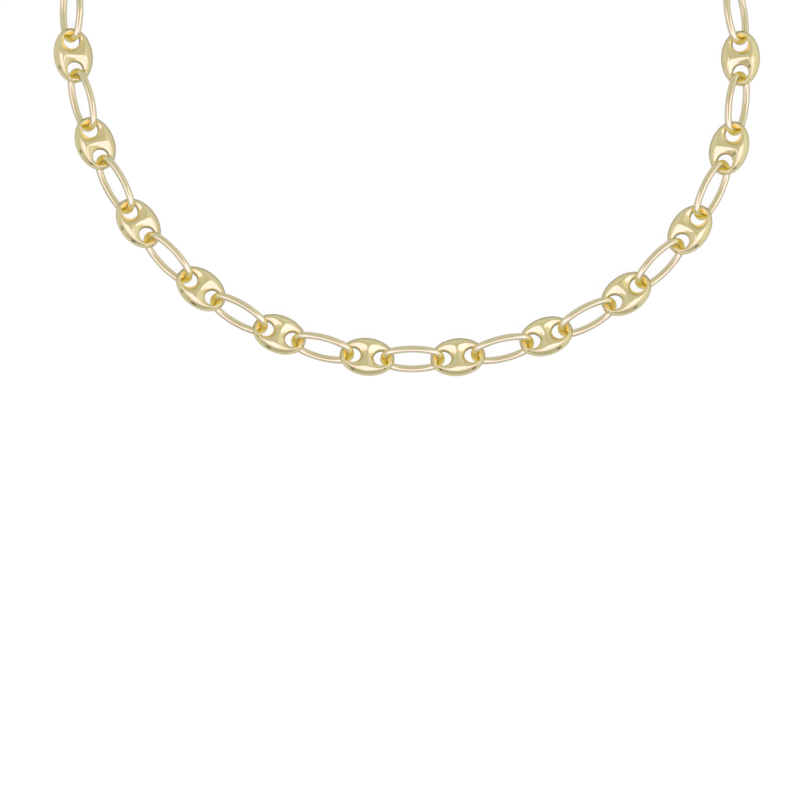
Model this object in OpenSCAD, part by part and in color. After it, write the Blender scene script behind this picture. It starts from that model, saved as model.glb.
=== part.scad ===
// Coffee bean chain: a necklace of puffed oval beans with two round holes each, joined by
// long oval wire links and closed by one plain clasp. It lies flat as a whole loop, seen
// from above: X to the right, Y away from the viewer, Z up, the floor at zero.

/* [Bean] */
// Length of a bean along the chain
bean_l = 11.6; // [11.5:0.05:11.7]
// Width of a bean across the chain
bean_w = 8.2; // [7.9:0.1:8.6]
// Thickness of a bean through its middle
bean_t = 4.9; // [4.8:0.05:5]
// Diameter of each hole at its narrowest
hole_d = 3.45; // [3.35:0.05:3.55]
// Distance from the middle of the bean to the middle of a hole
hole_x = 2.95; // [2.9:0.05:3]
// How far a link's wire rests from the middle of a hole, towards the bean's tip
seat_shift = 0.55; // [0.5:0.01:0.6]
// Width of the rolled lip round a hole
lip_w = 1.2; // [1.05:0.05:1.25]
// How far a bean's outer edge is turned up, in degrees
bean_lean = 14; // [13:1:15]
// How far the links hold the beans off the floor
bean_lift = 0.82; // [0.78:0.02:0.88]

/* [Oval link] */
// Length of a link over its ends
link_l = 13.6; // [13.5:0.05:13.7]
// Distance from the middle of an end's bend to the middle of a side's bend
end_to_side = 9.5; // [9.25:0.125:9.75]
// Diameter of the wire
wire_d = 1.45; // [1.3:0.05:1.5]
// How steeply a link stands, its inner side up, in degrees
link_lean = 52; // [51:0.5:53]

/* [Clasp] */
// Length of the clasp over its ends
clasp_l = 19.2; // [19:0.2:20]
// Width of the clasp's hook
clasp_w = 7.6; // [7.2:0.1:8]
// Thickness of the hook's bar
clasp_bar_d = 1.7; // [1.6:0.1:1.8]
// Outer diameter of the clasp's eye
eye_d = 6.4; // [6.3:0.1:6.6]
// Thickness of the eye's ring
eye_bar_d = 1.4; // [1.3:0.1:1.5]
// How steeply the clasp stands, in degrees
clasp_lean = 30; // [28:1:32]
// How far the links hold the clasp off the floor
clasp_lift = 0.9; // [0.8:0.1:1.2]

/* [Lay of the loop] */
// How much the loop is drawn out to an oval, as a share of its radius
oval_share = 0.0226; // [0:0.005:0.03]
// Direction in which it is drawn out, in degrees from the bottom of the loop
oval_turn = 32.7; // [0:1:90]
// How much the loop is drawn to three rounded corners
three_share = 0.0145; // [0:0.005:0.02]
// Direction of the first of the three corners
three_turn = 55; // [0:1:120]
// How much the loop is drawn to four rounded corners
four_share = 0.0087; // [0:0.003:0.01]
// Direction of the first of the four corners
four_turn = 63; // [0:1:90]
// How far the whole chain is slid along the loop
slide = 1.4; // [0:0.1:2]

/* [Hidden] */
bean_count = 22;
link_count = bean_count + 1;

function two_digits(n) = n < 10 ? str("0", n) : str(n);

bean_names = [for (i = [1:bean_count]) str("bean_", two_digits(i))];
link_names = [for (i = [1:link_count]) str("link_", two_digits(i))];

// The wire of a link rests in a hole on the side of the bean's tip
wire_r = wire_d / 2;
seat_x = hole_x + seat_shift;
bean_step = 2 * seat_x;
link_step = link_l - wire_d;
pitch = bean_step + link_step;

// Play between a link's wire and the bar of the clasp that it pulls on
clasp_play = 0.3;
eye_seat = clasp_l / 2 - eye_bar_d - clasp_play - wire_r;
hook_seat = clasp_l / 2 - clasp_bar_d - clasp_play - wire_r;
clasp_step = eye_seat + hook_seat;
loop_length = bean_count * pitch + link_step + clasp_step;

// The loop's route: a circle drawn out a little two, three and four times on its way round.
// The turn is counted from the bottom of the loop, growing to the right.
route_steps = 720;

function round_share(turn) =
    1 + oval_share * cos(2 * (turn - oval_turn))
      + three_share * cos(3 * (turn - three_turn))
      + four_share * cos(4 * (turn - four_turn));

function unit_route(turn) = round_share(turn) * [sin(turn), -cos(turn)];

unit_points = [for (k = [0:route_steps]) unit_route(360 * k / route_steps)];
unit_chords = [for (k = [1:route_steps]) norm(unit_points[k] - unit_points[k - 1])];

function running_sum(values) =
    [for (k = 0, sum = 0; k <= len(values); sum = sum + (k < len(values) ? values[k] : 0), k = k + 1) sum];

unit_lengths = running_sum(unit_chords);
loop_r = loop_length / unit_lengths[route_steps];
route_xs = [for (k = [0:route_steps]) unit_points[k][0] * loop_r];
route_ys = [for (k = [0:route_steps]) unit_points[k][1] * loop_r];

// The pieces reach a little further past the route on one side than on the other. This puts
// the middle of the whole chain's box over the origin.
box_shift = [0.27, -0.16];
route_middle = [
    (min(route_xs) + max(route_xs)) / 2 + box_shift[0],
    (min(route_ys) + max(route_ys)) / 2 + box_shift[1]
];
x_table = [for (k = [0:route_steps]) [unit_lengths[k] * loop_r, route_xs[k] - route_middle[0]]];
y_table = [for (k = [0:route_steps]) [unit_lengths[k] * loop_r, route_ys[k] - route_middle[1]]];

function wrapped(way) = way - floor(way / loop_length) * loop_length;

// The point of the route at a distance along it from the bottom of the loop
function on_route(way) = [lookup(wrapped(way), x_table), lookup(wrapped(way), y_table)];

// A piece that reaches from one point of the route to another: its middle and its heading
function middle_of(from, to) = (on_route(from) + on_route(to)) / 2;

function heading_of(from, to) =
    let (along = on_route(to) - on_route(from))
    atan2(along[1], along[0]);

function bean_way(i) = slide + (i - (bean_count + 1) / 2) * pitch;

function link_way(i) = slide + (i - (link_count + 1) / 2) * pitch;

clasp_way = slide + loop_length / 2;

// A link is an oval of four arcs that run into each other, two tight ends and two flat sides.
// They meet in the direction of a 44-117-125 triangle, which keeps every size a round number.
run_in = [44 / 125, 117 / 125];

// The wedge that cuts an arc out of its ring reaches past the ring everywhere
wedge_reach = 20;
link_half_l = link_step / 2;
end_x = end_to_side * run_in[0];
side_y = end_to_side * run_in[1];
link_bend = link_half_l - end_x;
side_bend = end_to_side + link_bend;
link_half_w = side_bend - side_y;
link_w = 2 * link_half_w + wire_d;

// Each piece lies at the height at which its lowest point meets the floor
bean_z = bean_lift + norm([bean_w / 2 * sin(bean_lean), bean_t / 2 * cos(bean_lean)]);
link_z = link_half_w * sin(link_lean) + wire_r;
clasp_z = clasp_lift + (clasp_w - clasp_bar_d) / 2 * sin(clasp_lean) + clasp_bar_d / 2;

// Rays round a hole of the bean: four across the bar, the others out to the outline.
// A ray at zero points to the bean's tip.
bar_rays = 4;
rim_rays = 10;
ray_count = bar_rays + rim_rays;
half_l = bean_l / 2;
half_w = bean_w / 2;
half_t = bean_t / 2;
hole_r = hole_d / 2;
corner_turn = 180 - atan2(half_w, hole_x);

function ray_turn(ray) =
    ray <= rim_rays
        ? -corner_turn + 2 * corner_turn * ray / rim_rays
        : corner_turn + (360 - 2 * corner_turn) * (ray - rim_rays) / bar_rays;

function on_bar(ray) = ray >= rim_rays || ray == 0;

function on_rim(ray) = ray <= rim_rays;

// Distance from the hole's middle to the bean's outline, along a ray
function rim_reach(turn) =
    let (
        square = pow(cos(turn) / half_l, 2) + pow(sin(turn) / half_w, 2),
        side = hole_x * cos(turn) / (half_l * half_l),
        rest = pow(hole_x / half_l, 2) - 1
    )
    (-side + sqrt(side * side - square * rest)) / square;

function ray_reach(ray) = on_bar(ray) ? -hole_x / cos(ray_turn(ray)) : rim_reach(ray_turn(ray));

// Height of the dome over the bean's middle plane
function dome_z(x, y) = half_t * sqrt(max(0, 1 - pow(x / half_l, 2) - pow(y / half_w, 2)));

// The lip rounds the dome down into the hole: zero at the hole's wall, one past the lip
function lip_share(past_wall, lip) = sqrt(1 - pow(1 - min(1, past_wall / lip), 2));

// Steps along a ray, from the hole's wall to the outline or the middle of the bar
ray_steps = [0, 0.05, 0.2, 0.45, 0.72, 0.92, 1];
last_step = len(ray_steps) - 1;
widest_lip_share = 0.95;

function bean_point(ray, step) =
    let (
        turn = ray_turn(ray),
        width = ray_reach(ray) - hole_r,
        past_wall = width * ray_steps[step],
        x = max(0, hole_x + (hole_r + past_wall) * cos(turn)),
        y = (hole_r + past_wall) * sin(turn),
        at_rim = step == last_step && on_rim(ray),
        lip = min(lip_w, widest_lip_share * width)
    )
    [x, y, at_rim ? 0 : dome_z(x, y) * lip_share(past_wall, lip)];

// A bean has four quarters, mirrored across its bar and its middle plane. Quarters share the
// points of the hole's wall, the outline and the bar.
function bean_index(side, half, ray, step) =
    let (
        own_half = step == 0 || (step == last_step && on_rim(ray)) ? 0 : half,
        own_side = step == last_step && on_bar(ray) ? 0 : side
    )
    ((own_side * 2 + own_half) * ray_count + ray) * len(ray_steps) + step;

bean_points = [
    for (side = [0, 1])
    for (half = [0, 1])
    for (ray = [0:ray_count - 1])
    for (step = [0:last_step])
        let (p = bean_point(ray, step))
        [side == 0 ? p[0] : -p[0], p[1], half == 0 ? p[2] : -p[2]]
];

function turned(face, flip) = flip ? [face[2], face[1], face[0]] : face;

bean_faces = [
    for (side = [0, 1])
    for (half = [0, 1])
    for (ray = [0:ray_count - 1])
    for (step = [0:last_step - 1])
        let (
            next = (ray + 1) % ray_count,
            a = bean_index(side, half, ray, step),
            b = bean_index(side, half, next, step),
            c = bean_index(side, half, next, step + 1),
            d = bean_index(side, half, ray, step + 1),
            flip = side != half
        )
        each [turned([a, b, c], flip), turned([a, c, d], flip)]
];

module laid(from, to, height, lean) {
    at = middle_of(from, to);
    translate([at[0], at[1], height])
        rotate([0, 0, heading_of(from, to)])
            rotate([lean, 0, 0])
                children();
}

// A round bar bent to a whole ring
module ring(bend, bar_d) {
    rotate_extrude($fn = 120)
        translate([bend, 0])
            circle(d = bar_d, $fn = 32);
}

// The half of such a ring on the side where X is above zero
module half_ring(bend, bar_d) {
    rotate([0, 0, -90])
        rotate_extrude(angle = 180, $fn = 96)
            translate([bend, 0])
                circle(d = bar_d, $fn = 32);
}

// The stretch of a ring that lies between two directions from its middle
module arc(bend, bar_d, from, to) {
    intersection() {
        ring(bend, bar_d);
        linear_extrude(height = 2 * bar_d, center = true)
            polygon([[0, 0], wedge_reach * from, wedge_reach * to]);
    }
}

module bean(i) {
    color([0.89, 0.76, 0.42])
        laid(bean_way(i) - seat_x, bean_way(i) + seat_x, bean_z, -bean_lean)
            polyhedron(points = bean_points, faces = bean_faces, convexity = 6);
}

module link(i) {
    color([0.93, 0.82, 0.52])
        laid(link_way(i) - link_half_l, link_way(i) + link_half_l, link_z, link_lean)
            for (way = [1, -1]) {
                translate([way * end_x, 0, 0])
                    arc(link_bend, wire_d, [way * run_in[0], run_in[1]], [way * run_in[0], -run_in[1]]);
                translate([0, -way * side_y, 0])
                    arc(side_bend, wire_d, [run_in[0], way * run_in[1]], [-run_in[0], way * run_in[1]]);
            }
}

// One plain piece: a round eye soldered to a long closed hook
eye_bend = (eye_d - eye_bar_d) / 2;
eye_x = eye_d / 2 - clasp_l / 2;
hook_bend = (clasp_w - clasp_bar_d) / 2;
hook_outer_x = clasp_l / 2 - clasp_bar_d / 2 - hook_bend;
hook_inner_x = eye_x + eye_bend + hook_bend;

module clasp() {
    half = clasp_step / 2;
    shift = (eye_seat - hook_seat) / 2;
    color([0.86, 0.72, 0.38])
        laid(clasp_way - half, clasp_way + half, clasp_z, -clasp_lean)
            translate([shift, 0, 0]) {
                translate([eye_x, 0, 0])
                    ring(eye_bend, eye_bar_d);
                translate([hook_outer_x, 0, 0])
                    half_ring(hook_bend, clasp_bar_d);
                translate([hook_inner_x, 0, 0])
                    mirror([1, 0, 0])
                        half_ring(hook_bend, clasp_bar_d);
                for (side = [-1, 1])
                    translate([hook_inner_x, side * hook_bend, 0])
                        rotate([0, 90, 0])
                            cylinder(d = clasp_bar_d, h = hook_outer_x - hook_inner_x, $fn = 32);
            }
}

for (i = [1:bean_count])
    bean(i);
for (i = [1:link_count])
    link(i);
clasp();
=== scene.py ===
"""Looks of a coffee bean chain: puffed gold beans on long oval wire links, lying as a whole loop.

Every piece is built where the frame has it. Lengths of the chain's parts are in millimetres in
the classes, and become metres where a mesh is made.
"""

import logging
import math
from dataclasses import dataclass, field
from enum import Enum
from typing import Any, Sequence

import bmesh
import bpy
import numpy as np
from mathutils import Matrix, Vector


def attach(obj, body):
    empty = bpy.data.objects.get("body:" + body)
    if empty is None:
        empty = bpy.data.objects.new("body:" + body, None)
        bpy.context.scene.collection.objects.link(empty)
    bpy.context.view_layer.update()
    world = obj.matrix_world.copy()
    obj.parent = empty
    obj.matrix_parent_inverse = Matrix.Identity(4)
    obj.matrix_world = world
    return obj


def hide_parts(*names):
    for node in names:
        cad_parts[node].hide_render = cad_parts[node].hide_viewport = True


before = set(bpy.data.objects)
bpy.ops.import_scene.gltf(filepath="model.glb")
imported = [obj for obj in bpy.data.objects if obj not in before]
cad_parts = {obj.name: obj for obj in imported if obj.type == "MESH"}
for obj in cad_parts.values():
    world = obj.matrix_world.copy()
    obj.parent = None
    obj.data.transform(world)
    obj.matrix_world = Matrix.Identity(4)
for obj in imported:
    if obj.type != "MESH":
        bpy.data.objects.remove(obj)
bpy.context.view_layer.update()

LOG = logging.getLogger("coffee_bean_chain")
MM = 0.001
TINY = 1e-6
NOISE_MIDDLE = 0.5
RGB = tuple[float, float, float]
Pair = tuple[float, float]


class Lean(Enum):
    """Which edge of a piece of the loop is turned up from the floor."""

    INNER_EDGE_UP = 1.0
    OUTER_EDGE_UP = -1.0


class PaintedGlowSpot(Enum):
    """Where gold faces gold on a piece, which gets a painted glow there: a faint warm emission that stands
    in for light bounced between the gold faces.
    """

    HOLES = "the tip side of a bean's holes"
    ENDS = "round a link's two ends"
    NOWHERE = "nowhere"


# Where the pieces lie


@dataclass(frozen=True)
class Spot:
    """The place of one piece on the floor: its middle in millimetres and its heading in radians."""

    x: float
    y: float
    heading: float


@dataclass
class ChainLay:
    """The loop that the chain is laid in, and the place of each bean, link and clasp on it."""

    bean_count: int = 22
    bean_step: float = 7.0
    link_step: float = 12.15
    clasp_step: float = 14.05
    slide: float = 1.4
    # Number of peaks, size and first peak in degrees of each wave of the outline
    waves: tuple[tuple[int, float, float], ...] = (
        (2, 0.0226, 32.7),
        (3, 0.0145, 55.0),
        (4, 0.0087, 63.0),
    )
    box_shift: Pair = (0.27, -0.16)
    route_steps: int = 720
    middle: Pair = field(init=False)
    _ways: np.ndarray = field(init=False, repr=False)
    _points: np.ndarray = field(init=False, repr=False)

    def __post_init__(self) -> None:
        """Works out the route once, as points and the way gone at each."""
        turns = np.linspace(0.0, 2 * math.pi, self.route_steps + 1)
        share = np.ones_like(turns)
        for order, size, peak in self.waves:
            share += size * np.cos(order * (turns - math.radians(peak)))
        unit = np.column_stack([share * np.sin(turns), -share * np.cos(turns)])
        chords = np.linalg.norm(np.diff(unit, axis=0), axis=1)
        ways = np.concatenate([[0.0], np.cumsum(chords)])
        radius = self.loop_length / ways[-1]
        points = unit * radius
        middle = (points.min(axis=0) + points.max(axis=0)) / 2 + np.array(self.box_shift)
        self._ways = ways * radius
        self._points = points - middle
        self.middle = (float(middle[0]), float(middle[1]))

    @property
    def link_count(self) -> int:
        """One link between each two beans and one at each end."""
        return self.bean_count + 1

    @property
    def pitch(self) -> float:
        """Way from a bean to the next."""
        return self.bean_step + self.link_step

    @property
    def loop_length(self) -> float:
        """Way once round the chain."""
        return self.bean_count * self.pitch + self.link_step + self.clasp_step

    def on_route(self, way: float) -> np.ndarray:
        """The point of the route at a way from the bottom of the loop.

        Args:
            way: Distance along the route in millimetres, growing to the right.

        Returns:
            The point's x and y in millimetres.
        """
        wrapped = way % self.loop_length
        return np.array([np.interp(wrapped, self._ways, self._points[:, k]) for k in (0, 1)])

    def spot(self, way: float, step: float) -> Spot:
        """The place of a piece that pulls over one step of the route.

        Args:
            way: Where the piece's middle comes on the route.
            step: Distance between the two points that it pulls on.

        Returns:
            The piece's place.
        """
        start = self.on_route(way - step / 2)
        end = self.on_route(way + step / 2)
        along = end - start
        middle = (start + end) / 2
        return Spot(float(middle[0]), float(middle[1]), math.atan2(along[1], along[0]))

    def bean_spots(self) -> list[Spot]:
        """The places of all beans.

        Returns:
            The places, in their order on the chain.
        """
        first = -(self.bean_count + 1) / 2
        ways = [self.slide + (i + first) * self.pitch for i in range(1, self.bean_count + 1)]
        return [self.spot(way, self.bean_step) for way in ways]

    def link_spots(self) -> list[Spot]:
        """The places of all links.

        Returns:
            The places, in their order on the chain.
        """
        first = -(self.link_count + 1) / 2
        ways = [self.slide + (i + first) * self.pitch for i in range(1, self.link_count + 1)]
        return [self.spot(way, self.link_step) for way in ways]

    def clasp_spot(self) -> Spot:
        """The place of the clasp, opposite the loop's bottom."""
        return self.spot(self.slide + self.loop_length / 2, self.clasp_step)


# Objects and meshes


def put(name: str, data: bpy.types.ID) -> bpy.types.Object:
    """Makes an object and puts it into the scene.

    Args:
        name: The object's name.
        data: Its mesh or camera.

    Returns:
        The object.
    """
    placed = bpy.data.objects.new(name, data)
    bpy.context.scene.collection.objects.link(placed)
    return placed


def modified_mesh(source: bpy.types.Object) -> bpy.types.Mesh:
    """Makes a plain mesh of what an object's modifiers show.

    Args:
        source: The object with the modifiers.

    Returns:
        The mesh.
    """
    bpy.context.view_layer.update()
    shown = source.evaluated_get(bpy.context.evaluated_depsgraph_get())
    return bpy.data.meshes.new_from_object(shown)


# Node trees


class Value:
    """A socket of a node tree that can be reckoned with like a number."""

    def __init__(self, desk: "Desk", socket: bpy.types.NodeSocket) -> None:
        """Wraps a socket.

        Args:
            desk: The desk of the tree that the socket is in.
            socket: The output socket.
        """
        self.desk = desk
        self.socket = socket

    def _math(self, operation: str, *others: Any, first: bool = True) -> "Value":
        """Adds a Math node on this value and others.

        Args:
            operation: The Math node's operation.
            others: Numbers or values.
            first: True where this value comes before the others.

        Returns:
            The node's result.
        """
        terms = [self, *others] if first else [*others, self]
        return self.desk.value("ShaderNodeMath", {"operation": operation}, dict(enumerate(terms)))

    def __add__(self, other: Any) -> "Value":
        """This value plus another."""
        return self._math("ADD", other)

    def __radd__(self, other: Any) -> "Value":
        """Another value plus this one."""
        return self._math("ADD", other, first=False)

    def __sub__(self, other: Any) -> "Value":
        """This value less another."""
        return self._math("SUBTRACT", other)

    def __rsub__(self, other: Any) -> "Value":
        """Another value less this one."""
        return self._math("SUBTRACT", other, first=False)

    def __mul__(self, other: Any) -> "Value":
        """This value times another."""
        return self._math("MULTIPLY", other)

    def __rmul__(self, other: Any) -> "Value":
        """Another value times this one."""
        return self._math("MULTIPLY", other, first=False)

    def __neg__(self) -> "Value":
        """This value with its sign turned round."""
        return self._math("MULTIPLY", -1.0)

    def largest(self, other: Any) -> "Value":
        """The larger of this value and another."""
        return self._math("MAXIMUM", other)

    def power(self, exponent: Any) -> "Value":
        """This value raised to a power."""
        return self._math("POWER", exponent)

    def size(self) -> "Value":
        """This value without its sign."""
        return self._math("ABSOLUTE")

    def ramp(self, low: float, high: float) -> "Value":
        """A smooth step from zero at one value to one at another.

        Args:
            low: Where the result is zero.
            high: Where the result is one.

        Returns:
            The step, held between zero and one.
        """
        values = {"Value": self, "From Min": low, "From Max": high}
        return self.desk.value("ShaderNodeMapRange", {"interpolation_type": "SMOOTHSTEP"}, values)


class Desk:
    """Adds nodes to one tree."""

    def __init__(self, tree: bpy.types.NodeTree) -> None:
        """Starts on a tree.

        Args:
            tree: The tree that the nodes go into.
        """
        self.tree = tree

    @classmethod
    def cleared(cls, owner: Any) -> "Desk":
        """Starts on the emptied tree of a material or world.

        Args:
            owner: The material or world.

        Returns:
            The desk.
        """
        owner.use_nodes = True
        owner.node_tree.nodes.clear()
        return cls(owner.node_tree)

    def node(
        self, kind: str, settings: dict[str, Any] | None = None, values: dict[Any, Any] | None = None
    ) -> bpy.types.Node:
        """Adds one node.

        Args:
            kind: The node's type.
            settings: Its own settings, which are set first.
            values: What its sockets get, by name or number: a number, a colour or a link.

        Returns:
            The node.
        """
        node = self.tree.nodes.new(kind)
        for name, setting in (settings or {}).items():
            setattr(node, name, setting)
        for key, value in (values or {}).items():
            socket = node.inputs[key]
            if isinstance(value, Value):
                self.tree.links.new(value.socket, socket)
            elif isinstance(value, bpy.types.NodeSocket):
                self.tree.links.new(value, socket)
            else:
                socket.default_value = value
        return node

    def value(
        self,
        kind: str,
        settings: dict[str, Any] | None = None,
        values: dict[Any, Any] | None = None,
        output: Any = 0,
    ) -> Value:
        """Adds one node and takes one of its outputs.

        Args:
            kind: The node's type.
            settings: Its own settings.
            values: What its sockets get.
            output: Name or number of the output.

        Returns:
            The output as a value.
        """
        return Value(self, self.node(kind, settings, values).outputs[output])

    def mix(self, share: Value, first: RGB, second: RGB) -> Value:
        """Blends two colours.

        Args:
            share: Share of the second colour.
            first: Colour where the share is zero.
            second: Colour where it is one.

        Returns:
            The blend.
        """
        # The node has sockets for each kind of data: input 6, input 7 and output 2 are the colours
        values = {0: share, 6: (*first, 1.0), 7: (*second, 1.0)}
        return self.value("ShaderNodeMix", {"data_type": "RGBA"}, values, 2)


# Finishes


@dataclass(frozen=True)
class GoldFinish:
    """Polished yellow gold plate, with the fine unevenness that polishing leaves and, where set, a painted
    glow in its deep hollows.
    """

    name: str
    slot: str
    bright: RGB
    deep: RGB
    rim: RGB = (0.35, 0.35, 0.35)
    roughness: float = 0.10
    dull_roughness: float = 0.22
    wave_length: float = 2.6
    wave_height: float = 0.005
    cloud_length: float = 4.42
    cloud_ramp: Pair = (0.35, 0.75)
    deep_share: float = 0.55
    dull_cloud: float = 0.5
    pit_length: float = 0.16
    pit_height: float = 0.0005
    pit_ramp: Pair = (0.55, 0.8)
    dull_pit: float = 0.3
    hairline_turns: Pair = (0.5, 2.1)
    hairline_squeeze: Pair = (22.0, 26.0)
    hairline_slant: Pair = (0.3, 0.2)
    hairline_scale: float = 420.0
    hairline_width: float = 0.018
    hairline_height: float = 0.0003
    dull_hairline: float = 0.35
    # Painted glow: a faint warm emission in the hollows where gold faces gold, standing in for bounced
    # light; the fields below place it
    painted_glow: RGB = (0.12, 0.095, 0.015)
    painted_glow_spot: PaintedGlowSpot = PaintedGlowSpot.HOLES
    hole_x: float = 0.0
    hole_reach: Pair = (1.767, 2.052)
    tip_start: Pair = (2.8785, 3.939)
    wall_top: Pair = (0.90, 1.26)
    link_end: Pair = (5.0, 5.9)

    def material(self) -> bpy.types.Material:
        """Builds the material, or takes it where it is built already.

        Returns:
            The gold, ready for a piece that carries the attribute "own_place".
        """
        made = bpy.data.materials.get(self.name)
        if made is not None:
            return made
        material = bpy.data.materials.new(self.name)
        desk = Desk.cleared(material)
        spot = desk.value("ShaderNodeTexCoord", output="Object")
        wave = self._noise(desk, spot, self.wave_length, detail=1.0)
        cloud = self._noise(desk, spot, self.cloud_length, detail=3.0)
        pits = self._noise(desk, spot, self.pit_length, detail=2.0)
        hairlines = self._hairlines(desk, spot)
        tint = cloud.ramp(*self.cloud_ramp)
        dull = tint * self.dull_cloud + hairlines * self.dull_hairline
        dull = dull + pits.ramp(*self.pit_ramp) * self.dull_pit
        normal = self._bump(desk, wave, self.wave_height, None)
        normal = self._bump(desk, pits, self.pit_height, normal)
        normal = self._bump(desk, hairlines, self.hairline_height, normal)
        values: dict[Any, Any] = {
            "Base Color": desk.mix(tint * self.deep_share, self.bright, self.deep),
            "Metallic": 1.0,
            "Roughness": self.roughness + dull * (self.dull_roughness - self.roughness),
            "Normal": normal,
            "Specular Tint": (*self.rim, 1.0),
        }
        # Painted glow: emission that lights the hollows as if with light bounced from gold onto gold
        if self.painted_glow_spot is not PaintedGlowSpot.NOWHERE:
            values["Emission Color"] = desk.mix(self._painted_glow_share(desk), (0.0, 0.0, 0.0), self.painted_glow)
            values["Emission Strength"] = 1.0
        surface = desk.value("ShaderNodeBsdfPrincipled", None, values)
        desk.node("ShaderNodeOutputMaterial", None, {"Surface": surface})
        return material

    def _painted_glow_share(self, desk: Desk) -> Value:
        """Where the painted glow goes, in the hollows where gold faces gold: inside a bean's holes, or
        round a link's two ends.

        Args:
            desk: The material's desk.

        Returns:
            The painted glow's share: one deep inside and zero on the open faces.
        """
        place = desk.value("ShaderNodeAttribute", {"attribute_name": "own_place"}, None, "Vector")
        parts = desk.node("ShaderNodeSeparateXYZ", None, {"Vector": place}).outputs
        along, across, up = (Value(desk, parts[axis]).size() for axis in "XYZ")
        if self.painted_glow_spot is PaintedGlowSpot.ENDS:
            return self._step(along, self.link_end)
        off = desk.value("ShaderNodeCombineXYZ", None, {"X": along - self.hole_x * MM, "Y": across})
        from_hole = desk.value("ShaderNodeVectorMath", {"operation": "LENGTH"}, {0: off}, "Value")
        near = 1 - self._step(from_hole, self.hole_reach)
        return near * self._step(along, self.tip_start) * (1 - self._step(up, self.wall_top))

    @staticmethod
    def _step(place: Value, ends: Pair) -> Value:
        """A soft step between two places.

        Args:
            place: Place in metres.
            ends: Its start and end in millimetres.

        Returns:
            Zero before the step and one behind it.
        """
        return place.ramp(ends[0] * MM, ends[1] * MM)

    @staticmethod
    def _noise(desk: Desk, spot: Value, length: float, detail: float) -> Value:
        """Soft clouds of a given size.

        Args:
            desk: The material's desk.
            spot: Place on the surface.
            length: Size of a cloud in millimetres.
            detail: How many finer clouds lie in each.

        Returns:
            A value around one half.
        """
        values = {"Vector": spot, "Scale": 1 / (length * MM), "Detail": detail}
        return desk.value("ShaderNodeTexNoise", None, values)

    def _hairlines(self, desk: Desk, spot: Value) -> Value:
        """Thin scratches that a polishing mop leaves, in two slanting directions.

        A scratch runs wherever the drawn-out noise crosses its middle value.

        Args:
            desk: The material's desk.
            spot: Place on the surface.

        Returns:
            One on a scratch and zero beside it.
        """
        lines = []
        for turn, squeeze in zip(self.hairline_turns, self.hairline_squeeze):
            rotation = (*self.hairline_slant, turn)
            values = {"Vector": spot, "Rotation": rotation, "Scale": (1.0, squeeze, squeeze)}
            drawn = desk.value("ShaderNodeMapping", None, values)
            values = {"Vector": drawn, "Scale": self.hairline_scale, "Detail": 1.0}
            noise = desk.value("ShaderNodeTexNoise", None, values)
            lines.append(1 - (noise - NOISE_MIDDLE).size().ramp(0.0, self.hairline_width))
        return lines[0].largest(lines[1])

    @staticmethod
    def _bump(desk: Desk, height: Value, depth: float, normal: Value | None) -> Value:
        """Raises the surface by a height.

        Args:
            desk: The material's desk.
            height: Height as a share.
            depth: Full height in millimetres.
            normal: The normal of the bumps below, or None.

        Returns:
            The new normal.
        """
        values: dict[Any, Any] = {"Height": height, "Distance": depth * MM}
        if normal is not None:
            values["Normal"] = normal
        return desk.value("ShaderNodeBump", None, values)


# Laying many pieces out with geometry nodes


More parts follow.
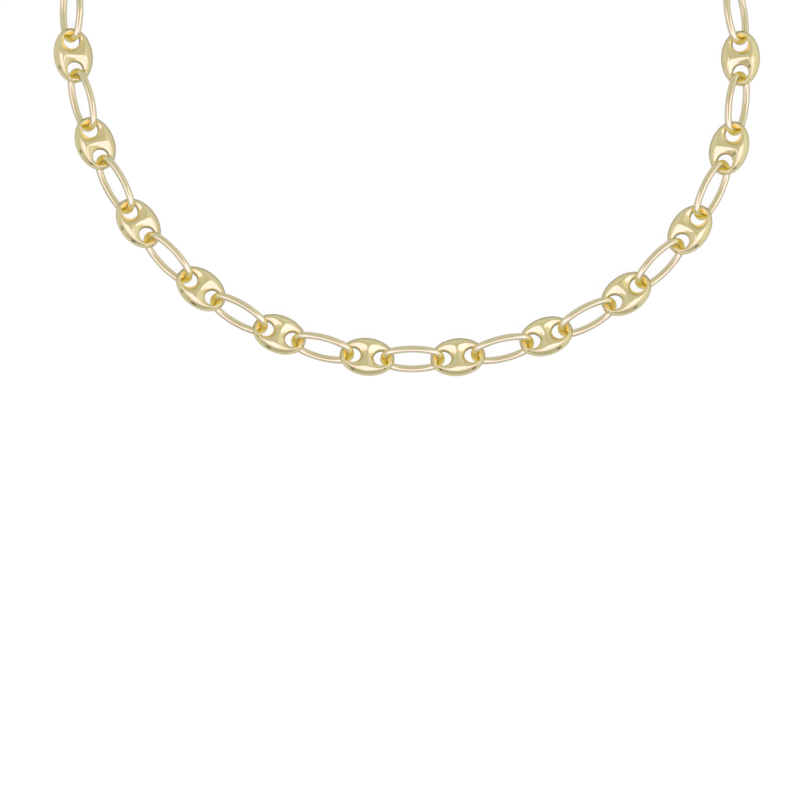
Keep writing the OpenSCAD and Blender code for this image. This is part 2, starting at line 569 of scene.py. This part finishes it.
@dataclass
class Row:
    """Many equal pieces laid out along the loop by a geometry tree."""

    name: str
    spots: list[Spot]
    tilt_deg: float
    lean: Lean
    height: float
    material: bpy.types.Material

    def lay(self, pattern: bpy.types.Object, wire_d: float = 0.0, wire_sides: int = 0) -> bpy.types.Object:
        """Lays a pattern out on every spot.

        Args:
            pattern: One piece at the origin, or the centre line of its wire.
            wire_d: Thickness of the wire in millimetres, where the pattern is a centre line.
            wire_sides: Sides round the wire.

        Returns:
            One plain mesh object of all pieces.
        """
        holder = self._spot_points()
        modifier = holder.modifiers.new("lay_out", "NODES")
        modifier.node_group = self._tree(wire_d > 0)
        wanted = {
            "Pattern": pattern,
            "Tilt": math.radians(self.tilt_deg) * self.lean.value,
            "Height": self.height * MM,
            "Material": self.material,
            "Wire radius": wire_d / 2 * MM,
            "Wire sides": wire_sides,
        }
        for item in modifier.node_group.interface.items_tree:
            if item.in_out == "INPUT" and item.name in wanted:
                modifier[item.identifier] = wanted[item.name]
        mesh = modified_mesh(holder)
        mesh.name = self.name
        piece = put(self.name, mesh)
        for spare in (holder, pattern):
            bpy.data.objects.remove(spare)
        return piece

    def _spot_points(self) -> bpy.types.Object:
        """Makes one loose point for each spot.

        Returns:
            The points as a mesh object, with their headings as an attribute.
        """
        mesh = bpy.data.meshes.new(self.name + "_spots")
        mesh.from_pydata([(s.x * MM, s.y * MM, 0.0) for s in self.spots], [], [])
        heading = mesh.attributes.new("heading", "FLOAT", "POINT")
        heading.data.foreach_set("value", [s.heading for s in self.spots])
        return put(self.name + "_spots", mesh)

    def _tree(self, sweeps: bool) -> bpy.types.NodeTree:
        """The tree that lays the pattern out.

        Args:
            sweeps: True where the pattern is a centre line that a wire follows.

        Returns:
            The tree, with its sizes as named inputs.
        """
        tree = bpy.data.node_groups.new(self.name + "_layout", "GeometryNodeTree")
        sockets = (
            ("Spots", "NodeSocketGeometry"),
            ("Pattern", "NodeSocketObject"),
            ("Tilt", "NodeSocketFloat"),
            ("Height", "NodeSocketFloat"),
            ("Material", "NodeSocketMaterial"),
            ("Wire radius", "NodeSocketFloat"),
            ("Wire sides", "NodeSocketInt"),
        )
        for name, kind in sockets:
            tree.interface.new_socket(name=name, in_out="INPUT", socket_type=kind)
        tree.interface.new_socket(name="Chain", in_out="OUTPUT", socket_type="NodeSocketGeometry")
        desk = Desk(tree)
        given = desk.node("NodeGroupInput").outputs
        piece = desk.value("GeometryNodeObjectInfo", None, {"Object": given["Pattern"]}, "Geometry")
        if sweeps:
            piece = self._sweep(desk, piece, given)
        place = desk.value("GeometryNodeInputPosition")
        values = {"Geometry": piece, "Name": "own_place", "Value": place}
        piece = desk.value("GeometryNodeStoreNamedAttribute", {"data_type": "FLOAT_VECTOR"}, values)
        raised = desk.value("ShaderNodeCombineXYZ", None, {"Z": given["Height"]})
        values = {"Geometry": given["Spots"], "Offset": raised}
        spots = desk.value("GeometryNodeSetPosition", None, values)
        heading = desk.value("GeometryNodeInputNamedAttribute", None, {"Name": "heading"})
        turn = desk.value("ShaderNodeCombineXYZ", None, {"X": given["Tilt"], "Z": heading})
        values = {"Points": spots, "Instance": piece, "Rotation": turn}
        laid = desk.value("GeometryNodeInstanceOnPoints", None, values)
        real = desk.value("GeometryNodeRealizeInstances", None, {"Geometry": laid})
        smooth = desk.value("GeometryNodeSetShadeSmooth", None, {"Geometry": real})
        values = {"Geometry": smooth, "Material": given["Material"]}
        dressed = desk.value("GeometryNodeSetMaterial", None, values)
        desk.node("NodeGroupOutput", None, {"Chain": dressed})
        return tree

    @staticmethod
    def _sweep(desk: Desk, line: Value, given: Any) -> Value:
        """Runs a round wire along a closed centre line.

        Args:
            desk: The tree's desk.
            line: The centre line as loose edges.
            given: The tree's inputs.

        Returns:
            The wire's mesh.
        """
        curve = desk.value("GeometryNodeMeshToCurve", None, {"Mesh": line})
        values = {"Resolution": given["Wire sides"], "Radius": given["Wire radius"]}
        round_bar = desk.value("GeometryNodeCurvePrimitiveCircle", None, values)
        return desk.value("GeometryNodeCurveToMesh", None, {"Curve": curve, "Profile Curve": round_bar})


# The pieces


def smooth_step(value: np.ndarray, low: float, high: float) -> np.ndarray:
    """A soft step.

    Args:
        value: Where it is asked.
        low: Where it starts to rise from zero.
        high: Where it reaches one.

    Returns:
        The step's height at each value.
    """
    share = np.clip((value - low) / (high - low), 0.0, 1.0)
    return share * share * (3 - 2 * share)


def soft_cone(depth: np.ndarray, soft: float) -> np.ndarray:
    """The side of a cone whose upper edge is rounded off.

    Args:
        depth: How far inwards it is, from zero at the edge to one at the foot.
        soft: How wide the rounding is, as a share of the way.

    Returns:
        How deep the cone is, from zero to one.
    """
    inside = np.clip(depth, 0.0, 1.0)
    return (np.hypot(inside, soft) - soft) / (math.hypot(1.0, soft) - soft)


def soft_least(one: np.ndarray, other: np.ndarray, soft: float) -> np.ndarray:
    """The lower of two surfaces, with the edge between them rounded.

    Args:
        one: Heights of the first surface.
        other: Heights of the second.
        soft: How wide the rounding is.

    Returns:
        The heights.
    """
    return (one + other - np.hypot(one - other, soft)) / 2


@dataclass
class BeanRow:
    """A run of puffed oval beans, each with two round holes.

    Of wall_w, wall_roll and rim_w the first value holds at the sides and the second at the tips,
    and of funnel_foot the other way round. The other pairs say where a soft step starts and ends,
    in radians where a name has turns but no deg.
    """

    lay: ChainLay
    finish: GoldFinish
    name: str
    first: int
    last: int
    length: float = 11.6
    width: float = 8.2
    thickness: float = 4.9
    hole_d: float = 3.3
    hole_x: float = 3.03
    wall_w: Pair = (0.16, 0.75)
    wall_roll: Pair = (2.6, 2.0)
    wall_turns_deg: Pair = (35.0, 75.0)
    funnel_deg: float = 34.0
    funnel_foot: Pair = (1.06, 0.95)
    foot_turns: Pair = (0.6, 1.3)
    crease: float = 0.16
    dish_w: float = 0.62
    dish_middle: float = 0.08
    dish_soft: float = 0.25
    dish_drop: float = 0.10
    rim_w: Pair = (2.8, 2.2)
    rim_turns: Pair = (0.25, 1.0)
    rim_bulge: float = 1.5
    groove_drop: float = 0.06
    groove_w: float = 0.40
    groove_ends: Pair = (1.4, 2.8)
    tip_belly: float = 0.40
    belly_turns_deg: Pair = (12.0, 44.0)
    lean_deg: float = 14.0
    lift: float = 0.82
    rim_rays: int = 46
    bar_rays: int = 34
    bar_spread: float = 1.0
    wall_steps: int = 6
    face_steps: int = 21
    widest_wall_share: float = 0.9

    @property
    def height(self) -> float:
        """Height of a bean's middle over the floor."""
        lean = math.radians(self.lean_deg)
        return self.lift + math.hypot(self.width / 2 * math.sin(lean), self.thickness / 2 * math.cos(lean))

    def ray_turns(self) -> np.ndarray:
        """Directions of the rays round a hole.

        Returns:
            The turns from the tip: first those to the outline, then those across the bar.
        """
        corner = math.pi - math.atan2(self.width / 2, self.hole_x)
        rim = np.linspace(-corner, corner, self.rim_rays + 1)
        spread = np.linspace(self.bar_spread, -self.bar_spread, self.bar_rays + 1)
        across = self.width / 2 * np.sin(spread) / math.sin(self.bar_spread)
        bar = math.pi - np.arctan2(across[1:-1], self.hole_x)
        return np.concatenate([rim, bar])

    def reach(self, turns: np.ndarray) -> np.ndarray:
        """Distance from the hole's middle to the outline or the middle of the bar.

        Args:
            turns: Directions of the rays.

        Returns:
            The distance along each.
        """
        half_l, half_w = self.length / 2, self.width / 2
        square = (np.cos(turns) / half_l) ** 2 + (np.sin(turns) / half_w) ** 2
        side = self.hole_x * np.cos(turns) / half_l**2
        rest = (self.hole_x / half_l) ** 2 - 1
        rim = (-side + np.sqrt(side**2 - square * rest)) / square
        bar = -self.hole_x / np.minimum(np.cos(turns), -TINY)
        on_bar = np.arange(len(turns)) > self.rim_rays
        on_bar[0] = on_bar[self.rim_rays] = True
        return np.where(on_bar, bar, rim)

    def quarter(self) -> np.ndarray:
        """The points of the quarter with x and z above zero.

        Each ray rises up the hole's wall, rolls over it into the funnel round the hole, and runs
        on over the crest to the outline. The wall bellies out a little at the tip, where the
        next link pulls.

        Returns:
            The points as rays by steps by coordinates.
        """
        turns = self.ray_turns()
        width = (self.reach(turns) - self.hole_d / 2)[:, None]
        off_tip = np.degrees(np.abs((turns + math.pi) % (2 * math.pi) - math.pi))[:, None]
        at_tip = 1 - smooth_step(off_tip, *self.wall_turns_deg)
        wall_w = self.wall_w[0] + (self.wall_w[1] - self.wall_w[0]) * at_tip
        roll = self.wall_roll[0] + (self.wall_roll[1] - self.wall_roll[0]) * at_tip
        wall = np.minimum(wall_w, self.widest_wall_share * width)
        rise = np.linspace(0.0, math.pi / 2, self.wall_steps + 1)[None, :]
        run = np.linspace(0.0, math.pi / 2, self.face_steps + 1)[None, 1:]
        belly = self.tip_belly * (1 - smooth_step(off_tip, *self.belly_turns_deg))
        over_wall = wall * (1 - np.cos(rise) ** (2 / roll)) - belly * np.cos(rise) ** 2
        over_face = wall + (width - wall) * np.sin(run)
        risen = np.sin(rise) ** (2 / roll) * np.ones_like(over_wall)
        risen = np.hstack([risen, np.ones_like(over_face)])
        out = self.hole_d / 2 + np.hstack([over_wall, over_face])
        x = np.maximum(0.0, self.hole_x + out * np.cos(turns)[:, None])
        y = out * np.sin(turns)[:, None]
        z = self.crown(x, y) * risen
        on_rim = np.arange(len(turns)) <= self.rim_rays
        z[on_rim, -1] = 0.0
        return np.stack([x, y, z], axis=2)

    def crown(self, x: np.ndarray, y: np.ndarray) -> np.ndarray:
        """Height of the puffed face over the bean's middle plane.

        The face bulges up from the outline to a crest and dips in a funnel round each hole. The two
        funnels nearly meet on the bar, where a faint groove runs across.

        Args:
            x: Places along the bean.
            y: Places across the bean.

        Returns:
            The heights.
        """
        half_l, half_w = self.length / 2, self.width / 2
        out = np.maximum(TINY, np.hypot(x / half_l, y / half_w))
        slope = np.maximum(TINY, np.hypot(x / half_l**2, y / half_w**2) / out)
        from_rim = np.maximum(0.0, 1 - out) / slope
        at_side = smooth_step(np.arctan2(np.abs(y) / half_w, np.abs(x) / half_l), *self.rim_turns)
        side_w, tip_w = self.rim_w
        share = np.clip(from_rim / (tip_w + (side_w - tip_w) * at_side), 0.0, 1.0)
        height = self.thickness / 2 * (1 - (1 - share) ** self.rim_bulge) ** (1 / self.rim_bulge)
        in_dish = 1 - np.hypot(out, self.dish_middle) / self.dish_w
        height = height * (1 - self.dish_drop * soft_cone(in_dish, self.dish_soft))
        funnels = [self._funnel(x * side, y) for side in (1, -1)]
        height = soft_least(height, soft_least(*funnels, self.crease), self.crease)
        groove = np.exp(-((x / self.groove_w) ** 2)) * (1 - smooth_step(np.abs(y), *self.groove_ends))
        return height * (1 - self.groove_drop * groove)

    def _funnel(self, x: np.ndarray, y: np.ndarray) -> np.ndarray:
        """Height of the funnel round the hole on the positive side.

        Args:
            x: Places along the bean.
            y: Places across the bean.

        Returns:
            The heights, rising all the way out from the hole's edge.
        """
        from_hole = np.hypot(x - self.hole_x, y)
        off_tip = np.abs(np.arctan2(y, x - self.hole_x))
        at_tip, around = self.funnel_foot
        foot = at_tip + (around - at_tip) * smooth_step(off_tip, *self.foot_turns)
        return foot + math.tan(math.radians(self.funnel_deg)) * (from_hole - self.hole_d / 2)

    def pattern(self) -> bpy.types.Object:
        """Makes one bean at the origin.

        Returns:
            The bean, closed and with its faces outwards.
        """
        points = self.quarter()
        rays, steps = points.shape[:2]
        shape = bmesh.new()
        for flip_x in (1, -1):
            for flip_z in (1, -1):
                signs = np.array([flip_x, 1, flip_z])
                corner_points = points * signs * MM
                grid = [[shape.verts.new(point) for point in ray] for ray in corner_points]
                for r in range(rays):
                    after = grid[(r + 1) % rays]
                    for s in range(steps - 1):
                        corners = [grid[r][s], after[s], after[s + 1], grid[r][s + 1]]
                        shape.faces.new(corners if flip_x * flip_z > 0 else corners[::-1])
        bmesh.ops.remove_doubles(shape, verts=shape.verts, dist=TINY)
        bmesh.ops.recalc_face_normals(shape, faces=shape.faces)
        mesh = bpy.data.meshes.new("bean_pattern")
        shape.to_mesh(mesh)
        shape.free()
        return put("bean_pattern", mesh)

    def build(self) -> bpy.types.Object:
        """Makes the run of beans."""
        row = Row(
            self.name,
            self.lay.bean_spots()[self.first - 1 : self.last],
            self.lean_deg,
            Lean.OUTER_EDGE_UP,
            self.height,
            self.finish.material(),
        )
        return row.lay(self.pattern())

    def nodes(self) -> list[str]:
        """The frame's nodes that the beans stand for."""
        return [f"bean_{i:02d}" for i in range(self.first, self.last + 1)]


@dataclass
class LinkRow:
    """The long oval wire links between the beans."""

    lay: ChainLay
    finish: GoldFinish
    length: float = 13.6
    wire_d: float = 1.45
    end_to_side: float = 9.5
    run_in: Pair = (0.352, 0.936)
    lean_deg: float = 52.0
    wire_sides: int = 24
    end_steps: int = 46
    side_steps: int = 30

    def centre_line(self) -> np.ndarray:
        """The wire's middle: two tight ends and two flat sides that run into each other.

        Returns:
            The points once round, in millimetres.
        """
        end_x = self.end_to_side * self.run_in[0]
        side_y = self.end_to_side * self.run_in[1]
        bend = (self.length - self.wire_d) / 2 - end_x
        flat = self.end_to_side + bend
        meet = math.atan2(self.run_in[1], self.run_in[0])
        arcs = (
            (end_x, 0.0, bend, -meet, meet, self.end_steps),
            (0.0, -side_y, flat, meet, math.pi - meet, self.side_steps),
            (-end_x, 0.0, bend, math.pi - meet, math.pi + meet, self.end_steps),
            (0.0, side_y, flat, math.pi + meet, 2 * math.pi - meet, self.side_steps),
        )
        points = []
        for x, y, radius, start, stop, steps in arcs:
            for turn in np.linspace(start, stop, steps, endpoint=False):
                points.append((x + radius * math.cos(turn), y + radius * math.sin(turn)))
        return np.array(points)

    @property
    def height(self) -> float:
        """Height of a link's middle over the floor."""
        half_w = float(self.centre_line()[:, 1].max())
        return half_w * math.sin(math.radians(self.lean_deg)) + self.wire_d / 2

    def pattern(self) -> bpy.types.Object:
        """Makes one link's centre line at the origin.

        Returns:
            The line as a closed row of edges.
        """
        points = self.centre_line()
        count = len(points)
        mesh = bpy.data.meshes.new("link_pattern")
        edges = [(i, (i + 1) % count) for i in range(count)]
        mesh.from_pydata([(x * MM, y * MM, 0.0) for x, y in points], edges, [])
        return put("link_pattern", mesh)

    def build(self) -> bpy.types.Object:
        """Makes the row of links."""
        row = Row(
            "links",
            self.lay.link_spots(),
            self.lean_deg,
            Lean.INNER_EDGE_UP,
            self.height,
            self.finish.material(),
        )
        return row.lay(self.pattern(), self.wire_d, self.wire_sides)

    def nodes(self) -> list[str]:
        """The frame's nodes that the links stand for."""
        return [f"link_{i:02d}" for i in range(1, self.lay.link_count + 1)]


@dataclass
class Clasp:
    """The plain clasp: a round eye soldered to a long closed hook."""

    lay: ChainLay
    finish: GoldFinish
    length: float = 19.2
    width: float = 7.6
    bar_d: float = 1.7
    eye_d: float = 6.4
    eye_bar_d: float = 1.4
    lean_deg: float = 30.0
    lift: float = 0.9
    wire_d: float = 1.45
    play: float = 0.3
    voxel: float = 0.11
    eye_steps: int = 96
    bend_steps: int = 40
    bar_sides: int = 32
    solder_softness: float = 0.5
    solder_rounds: int = 6

    def centre_lines(self) -> list[tuple[np.ndarray, float]]:
        """The middles of the eye's and the hook's bars.

        Returns:
            The points of each, with its bar's thickness.
        """
        eye_bend = (self.eye_d - self.eye_bar_d) / 2
        eye_x = self.eye_d / 2 - self.length / 2
        bend = (self.width - self.bar_d) / 2
        outer_x = self.length / 2 - self.bar_d / 2 - bend
        inner_x = eye_x + eye_bend + bend
        around = np.linspace(0, 2 * math.pi, self.eye_steps, endpoint=False)
        eye = np.column_stack([eye_x + eye_bend * np.cos(around), eye_bend * np.sin(around)])
        right = np.linspace(-math.pi / 2, math.pi / 2, self.bend_steps)
        hook = np.concatenate(
            [
                np.column_stack([outer_x + bend * np.cos(right), bend * np.sin(right)]),
                np.column_stack([inner_x - bend * np.cos(right), -bend * np.sin(right)]),
            ]
        )
        return [(eye, self.eye_bar_d), (hook, self.bar_d)]

    def build(self) -> bpy.types.Object:
        """Makes the clasp as one body with a soft soldered joint.

        Returns:
            The clasp.
        """
        shape = bmesh.new()
        for line, bar_d in self.centre_lines():
            self._tube(shape, line, bar_d / 2, self.bar_sides)
        mesh = bpy.data.meshes.new("clasp_hook")
        shape.to_mesh(mesh)
        shape.free()
        rough = put("clasp_rough", mesh)
        remesh = rough.modifiers.new("fuse", "REMESH")
        remesh.mode = "VOXEL"
        remesh.voxel_size = self.voxel * MM
        soften = rough.modifiers.new("soften", "SMOOTH")
        soften.factor = self.solder_softness
        soften.iterations = self.solder_rounds
        fused = modified_mesh(rough)
        bpy.data.objects.remove(rough)
        fused.name = "clasp_hook"
        fused.materials.append(self.finish.material())
        fused.shade_smooth()
        fused.transform(self._place())
        return put("clasp_hook", fused)

    @staticmethod
    def _tube(shape: bmesh.types.BMesh, line: np.ndarray, radius: float, sides: int) -> None:
        """Adds a closed round bar along a flat closed line.

        Args:
            shape: The mesh that it is added to.
            line: Points of the bar's middle in millimetres.
            radius: The bar's radius.
            sides: Sides round the bar.
        """
        along = np.roll(line, -1, axis=0) - np.roll(line, 1, axis=0)
        along /= np.linalg.norm(along, axis=1)[:, None]
        out = np.column_stack([along[:, 1], -along[:, 0]])
        turns = [2 * math.pi * k / sides for k in range(sides)]
        rings = []
        for point, side in zip(line, out):
            ring = []
            for turn in turns:
                x, y = point + side * radius * math.cos(turn)
                ring.append(shape.verts.new(Vector((x, y, radius * math.sin(turn))) * MM))
            rings.append(ring)
        faces = []
        for ring, after in zip(rings, rings[1:] + rings[:1]):
            for k in range(sides):
                up = (k + 1) % sides
                faces.append(shape.faces.new([ring[k], after[k], after[up], ring[up]]))
        bmesh.ops.recalc_face_normals(shape, faces=faces)

    def _place(self) -> Matrix:
        """The turn and shift that bring the clasp from the origin to its spot.

        Returns:
            Both as one matrix.
        """
        wire_r = self.wire_d / 2
        eye_seat = self.length / 2 - self.eye_bar_d - self.play - wire_r
        hook_seat = self.length / 2 - self.bar_d - self.play - wire_r
        lean = math.radians(self.lean_deg)
        spot = self.lay.clasp_spot()
        height = self.lift + (self.width - self.bar_d) / 2 * math.sin(lean) + self.bar_d / 2
        return (
            Matrix.Translation(Vector((spot.x, spot.y, height)) * MM)
            @ Matrix.Rotation(spot.heading, 4, "Z")
            @ Matrix.Rotation(lean * Lean.OUTER_EDGE_UP.value, 4, "X")
            @ Matrix.Translation(Vector(((eye_seat - hook_seat) / 2 * MM, 0, 0)))
        )


# Floor, light and camera


@dataclass(frozen=True)
class Direction:
    """How far a direction points to the right, away from the viewer and up."""

    across: Value
    away: Value
    up: Value


@dataclass(frozen=True)
class SoftWall:
    """A curved softbox in front of the chain: where it stands, and how bright it is."""

    from_top_deg: Pair = (25.0, 60.0)
    to_sides_deg: float = 100.0
    soft_deg: float = 4.0
    soft_side_deg: float = 6.0
    colour: RGB = (0.76, 0.62, 1.33)
    side_share: float = 0.92
    least_square: float = 1e-4

    def shows(self, look: Direction) -> Value:
        """Where the softbox is seen.

        Args:
            look: The direction that is looked in.

        Returns:
            One on the softbox and zero beside it.
        """
        high, low = self.from_top_deg
        above_foot = self._within(look.up, low, self.soft_deg)
        below_top = 1 - self._within(look.up, high, self.soft_deg)
        flat_square = (1 - look.up * look.up).largest(self.least_square)
        ahead = -look.away * flat_square.power(-0.5)
        in_width = self._within(ahead, self.to_sides_deg, self.soft_side_deg)
        return above_foot * below_top * in_width * (self.side_share + ahead * (1 - self.side_share))

    @staticmethod
    def _within(cosine: Value, limit_deg: float, soft_deg: float) -> Value:
        """Whether an angle is under a limit.

        Args:
            cosine: The angle's cosine.
            limit_deg: The limit.
            soft_deg: How far the step reaches to each side of the limit.

        Returns:
            One under the limit and zero over it.
        """
        over, under = (math.cos(math.radians(limit_deg + side * soft_deg)) for side in (1, -1))
        return cosine.ramp(over, under)


@dataclass(frozen=True)
class Tent:
    """The white tent round the chain: its brightness, and the lamp stands in front of it."""

    level: float = 0.66
    right_level: float = 0.22
    right_ramp: Pair = (0.3, 0.9)
    left_level: float = 0.06
    left_ramp: Pair = (0.5, 0.95)
    front_shade: float = 0.16
    front_ramp: Pair = (0.3, 0.8)
    front_top: Pair = (0.25, 0.5)
    low_colour: RGB = (0.99, 1.025, 1.15)
    low_top: Pair = (0.2, 0.6)
    stand_dark: float = 0.8
    stand_top: Pair = (0.18, 0.32)
    # How far right and away each stand is seen, and its width
    stands: tuple[tuple[float, float, float], ...] = (
        (-0.57, -0.81, 0.11),
        (0.63, -0.76, 0.11),
        (-0.93, -0.35, 0.08),
    )

    def brightness(self, look: Direction) -> Value:
        """How bright the tent's cloth is.

        Args:
            look: The direction that is looked in.

        Returns:
            The brightness, brighter at the sides and dimmer low in front.
        """
        level = self.level + look.across.ramp(*self.right_ramp) * self.right_level
        level = level + (-look.across).ramp(*self.left_ramp) * self.left_level
        low_in_front = (-look.away).ramp(*self.front_ramp) * (1 - look.up.ramp(*self.front_top))
        level = level - low_in_front * self.front_shade
        return level * (1 - self._stands_show(look) * self.stand_dark)

    def colour(self, look: Direction) -> Value:
        """The cloth's colour: white, and a little cooler near the floor."""
        return look.up.desk.mix(1 - look.up.ramp(*self.low_top), (1.0, 1.0, 1.0), self.low_colour)

    def _stands_show(self, look: Direction) -> Value:
        """The feet of the lamp stands, dark against the cloth.

        Args:
            look: The direction that is looked in.

        Returns:
            One on a stand and zero beside it.
        """
        dark: Any = 0.0
        for x, y, width in self.stands:
            right, ahead = look.across - x, look.away - y
            dark = dark + (1 - (right * right + ahead * ahead).ramp((width / 2) ** 2, width**2))
        return dark * (1 - look.up.ramp(*self.stand_top))


@dataclass
class Studio:
    """The pale floor, the soft light and the camera straight above, with lengths in metres."""

    lay: ChainLay
    photo_px: int = 800
    mm_per_px: float = 0.2104
    loop_px: Pair = (405.80, 24.40)
    camera_height: float = 0.60
    sharp_height: float = 0.0033
    sensor_mm: float = 36.0
    sight: Pair = (0.01, 20.0)
    floor_half: float = 1.6
    paper_grey: float = 0.20
    paper_glow: RGB = (0.59, 0.61, 0.67)
    white_grey: float = 0.14
    white_glow: RGB = (0.90, 0.90, 0.90)
    gold_bounces: int = 12
    tent: Tent = Tent()
    wall: SoftWall = SoftWall()

    def middle_of_view(self) -> tuple[float, float]:
        """The point of the floor under the camera.

        Returns:
            Its x and y in metres.
        """
        half = self.photo_px / 2
        x = (half - self.loop_px[0]) * self.mm_per_px - self.lay.middle[0]
        y = -(half - self.loop_px[1]) * self.mm_per_px - self.lay.middle[1]
        return x * MM, y * MM

    def set_camera(self) -> None:
        """Puts the camera straight above the photo's middle."""
        data = bpy.data.cameras.new("camera")
        width = self.photo_px * self.mm_per_px * MM
        data.sensor_width = self.sensor_mm
        data.lens = self.sensor_mm * (self.camera_height - self.sharp_height) / width
        data.clip_start, data.clip_end = self.sight
        camera = put("camera", data)
        camera.location = (*self.middle_of_view(), self.camera_height)
        bpy.context.scene.camera = camera

    def lay_floor(self) -> None:
        """Lays the floor, white to the camera and grey paper to the gold."""
        half = self.floor_half
        mesh = bpy.data.meshes.new("floor")
        corners = [(-half, -half, 0), (half, -half, 0), (half, half, 0), (-half, half, 0)]
        mesh.from_pydata(corners, [], [(0, 1, 2, 3)])
        floor = put("floor", mesh)
        material = bpy.data.materials.new("white_floor")
        desk = Desk.cleared(material)
        paper = self._sheet(desk, self.paper_grey, self.paper_glow)
        white = self._sheet(desk, self.white_grey, self.white_glow)
        seen = desk.value("ShaderNodeLightPath", None, None, "Is Camera Ray")
        surface = desk.value("ShaderNodeMixShader", None, {0: seen, 1: paper, 2: white})
        desk.node("ShaderNodeOutputMaterial", None, {"Surface": surface})
        mesh.materials.append(material)

    @staticmethod
    def _sheet(desk: Desk, grey: float, glow: RGB) -> Value:
        """A sheet of paper that also glows by itself.

        Args:
            desk: The floor's desk.
            grey: How much light the paper throws back.
            glow: The light that it gives.

        Returns:
            The sheet's surface.
        """
        paper = desk.value("ShaderNodeBsdfDiffuse", None, {"Color": (grey, grey, grey, 1.0)})
        light = desk.value("ShaderNodeEmission", None, {"Color": (*glow, 1.0)})
        return desk.value("ShaderNodeAddShader", None, {0: paper, 1: light})

    def light(self) -> None:
        """Puts up the white tent and the softbox in front."""
        world = bpy.data.worlds.new("tent")
        bpy.context.scene.world = world
        desk = Desk.cleared(world)
        direction = desk.node("ShaderNodeTexCoord").outputs["Generated"]
        parts = desk.node("ShaderNodeSeparateXYZ", None, {"Vector": direction}).outputs
        look = Direction(*(Value(desk, parts[axis]) for axis in "XYZ"))
        values: dict[Any, Any] = {"Color": self.tent.colour(look), "Strength": self.tent.brightness(look)}
        tent = desk.value("ShaderNodeBackground", None, values)
        values = {"Color": (*self.wall.colour, 1.0), "Strength": self.wall.shows(look)}
        wall = desk.value("ShaderNodeBackground", None, values)
        surface = desk.value("ShaderNodeAddShader", None, {0: tent, 1: wall})
        desk.node("ShaderNodeOutputWorld", None, {"Surface": surface})
        bpy.context.scene.view_settings.view_transform = "Standard"
        bpy.context.scene.cycles.glossy_bounces = self.gold_bounces


# Putting it together


BEAN_GOLD = GoldFinish(
    "bean_gold", "bean_metal", (0.86, 0.75, 0.38), (0.82, 0.70, 0.33), hole_x=BeanRow.hole_x
)
LINK_GOLD = GoldFinish(
    "link_gold",
    "link_metal",
    (0.85, 0.755, 0.44),
    (0.82, 0.70, 0.38),
    wave_height=0.004,
    painted_glow_spot=PaintedGlowSpot.ENDS,
)
CLASP_GOLD = GoldFinish(
    "clasp_gold",
    "clasp_metal",
    (0.86, 0.75, 0.39),
    (0.82, 0.70, 0.34),
    wave_height=0.004,
    painted_glow_spot=PaintedGlowSpot.NOWHERE,
)


def dress(piece: bpy.types.Object, nodes: Sequence[str]) -> None:
    """Tells the frame what a finished piece stands for.

    Args:
        piece: The piece.
        nodes: The frame's nodes that it replaces.
    """
    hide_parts(*nodes)
    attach(piece, "root")
    mesh = piece.data
    mesh.calc_loop_triangles()
    LOG.info("%s: %d triangles for %d nodes", piece.name, len(mesh.loop_triangles), len(nodes))


def main() -> None:
    """Builds the chain, its floor, its light and its camera."""
    logging.basicConfig(level=logging.INFO, format="%(name)s: %(message)s")
    lay = ChainLay()
    studio = Studio(lay)
    studio.set_camera()
    studio.lay_floor()
    studio.light()
    half = lay.bean_count // 2
    runs = (("beans_left", 1, half), ("beans_right", half + 1, lay.bean_count))
    for name, first, last in runs:
        beans = BeanRow(lay, BEAN_GOLD, name, first, last)
        dress(beans.build(), beans.nodes())
    links = LinkRow(lay, LINK_GOLD)
    dress(links.build(), links.nodes())
    clasp = Clasp(lay, CLASP_GOLD)
    dress(clasp.build(), ["clasp"])


if __name__ == "__main__":
    main()
